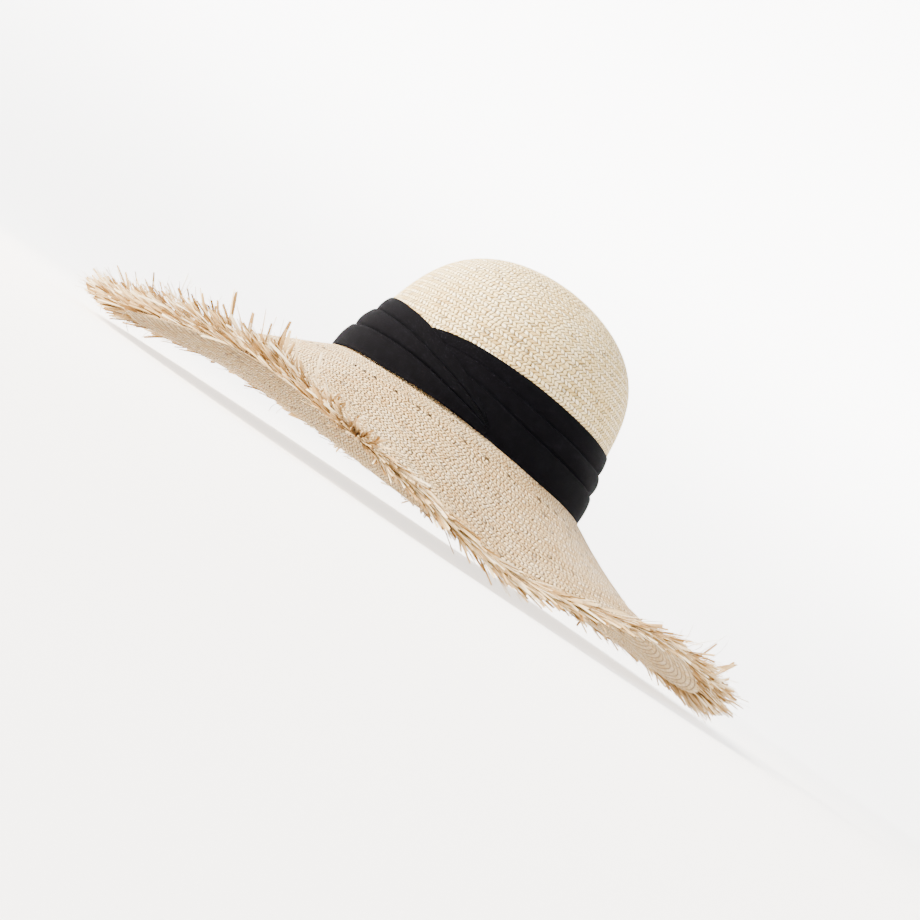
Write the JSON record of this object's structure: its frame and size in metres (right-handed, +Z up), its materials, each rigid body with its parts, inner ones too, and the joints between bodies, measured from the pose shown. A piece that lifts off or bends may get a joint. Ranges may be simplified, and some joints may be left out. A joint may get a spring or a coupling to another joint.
{
  "type": "fringed raffia hat",
  "caption": "Wide-brimmed woven raffia sun hat with a round crown, a waving brim with a frayed edge, and a pleated black cloth band lapped at the side.",
  "frame": {"origin": "middle of the bounding box's base, on the surface that the hat rests on", "axes": "+Z up, -Y the front of the hat, +X the wearer's left"},
  "size_m": [0.4924, 0.5086, 0.1864],
  "materials": {
    "crown": "natural cream raffia woven in close zigzag rows",
    "brim": "natural beige raffia, woven a little looser than the crown",
    "fringe": "frayed tan raffia strips, dry and matt",
    "band": "black crepe cloth, matt"
  },
  "bodies": {
    "root": {"crown": "crown", "brim": "brim", "fringe": "fringe", "band": "band"}
  },
  "joints": []
}
